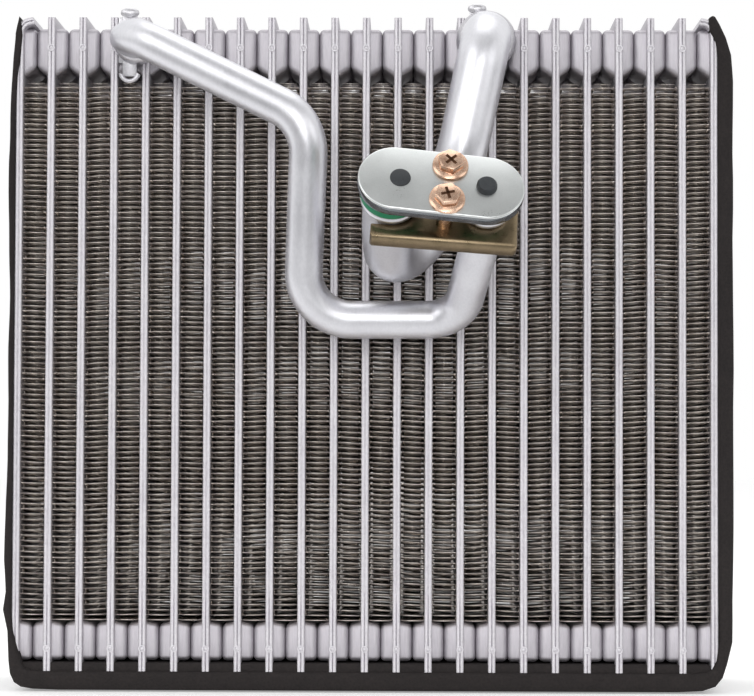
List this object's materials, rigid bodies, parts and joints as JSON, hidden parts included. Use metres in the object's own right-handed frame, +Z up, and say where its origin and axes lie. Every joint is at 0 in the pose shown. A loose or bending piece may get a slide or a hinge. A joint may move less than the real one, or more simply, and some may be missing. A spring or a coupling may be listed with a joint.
{
  "type": "plate-type evaporator core with connecting pipes",
  "caption": "Brazed plate evaporator core of a vehicle air conditioner: flat tubes with folded fins, drawn tank cups, foam seal and two bent pipes to a valve flange.",
  "frame": {"origin": "centre of the flat underside of the foam seal, below the middle of the core's width and depth", "axes": "+X to the right seen from the pipe side, along the row of tubes; +Y through the core, away from the pipes; +Z up along the tubes"},
  "size_m": [0.2348, 0.1332, 0.2211],
  "materials": {
    "tube_aluminium": "satin, powdery brazing flux",
    "fin_aluminium": "satin",
    "pipe_aluminium": "satin",
    "foam": "open soft foam",
    "yellow_steel": "yellow passivated",
    "zinc_steel": "zinc plated, satin",
    "copper_steel": "yellow passivated, worn",
    "black_rubber": "matt",
    "green_rubber": "matt"
  },
  "bodies": {
    "root": {"tube_01": "tube_aluminium", "tube_02": "tube_aluminium", "tube_03": "tube_aluminium", "tube_04": "tube_aluminium", "tube_05": "tube_aluminium", "tube_06": "tube_aluminium", "tube_07": "tube_aluminium", "tube_08": "tube_aluminium", "tube_09": "tube_aluminium", "tube_10": "tube_aluminium", "tube_11": "tube_aluminium", "tube_12": "tube_aluminium", "tube_13": "tube_aluminium", "tube_14": "tube_aluminium", "tube_15": "tube_aluminium", "tube_16": "tube_aluminium", "tube_17": "tube_aluminium", "tube_18": "tube_aluminium", "tube_19": "tube_aluminium", "tube_20": "tube_aluminium", "tube_21": "tube_aluminium", "end_plate_left": "tube_aluminium", "end_plate_right": "tube_aluminium", "fin_01": "fin_aluminium", "fin_02": "fin_aluminium", "fin_03": "fin_aluminium", "fin_04": "fin_aluminium", "fin_05": "fin_aluminium", "fin_06": "fin_aluminium", "fin_07": "fin_aluminium", "fin_08": "fin_aluminium", "fin_09": "fin_aluminium", "fin_10": "fin_aluminium", "fin_11": "fin_aluminium", "fin_12": "fin_aluminium", "fin_13": "fin_aluminium", "fin_14": "fin_aluminium", "fin_15": "fin_aluminium", "fin_16": "fin_aluminium", "fin_17": "fin_aluminium", "fin_18": "fin_aluminium", "fin_19": "fin_aluminium", "fin_20": "fin_aluminium", "fin_21": "fin_aluminium", "fin_22": "fin_aluminium", "foam_seal": "foam", "inlet_pipe": "pipe_aluminium", "outlet_pipe": "pipe_aluminium", "inlet_adapter": "tube_aluminium", "outlet_adapter": "tube_aluminium", "clamp_plate": "yellow_steel", "cover_plate": "zinc_steel", "cover_plugs": "black_rubber", "cover_screws": "copper_steel", "inlet_ring": "green_rubber", "outlet_ring": "green_rubber"}
  },
  "joints": []
}
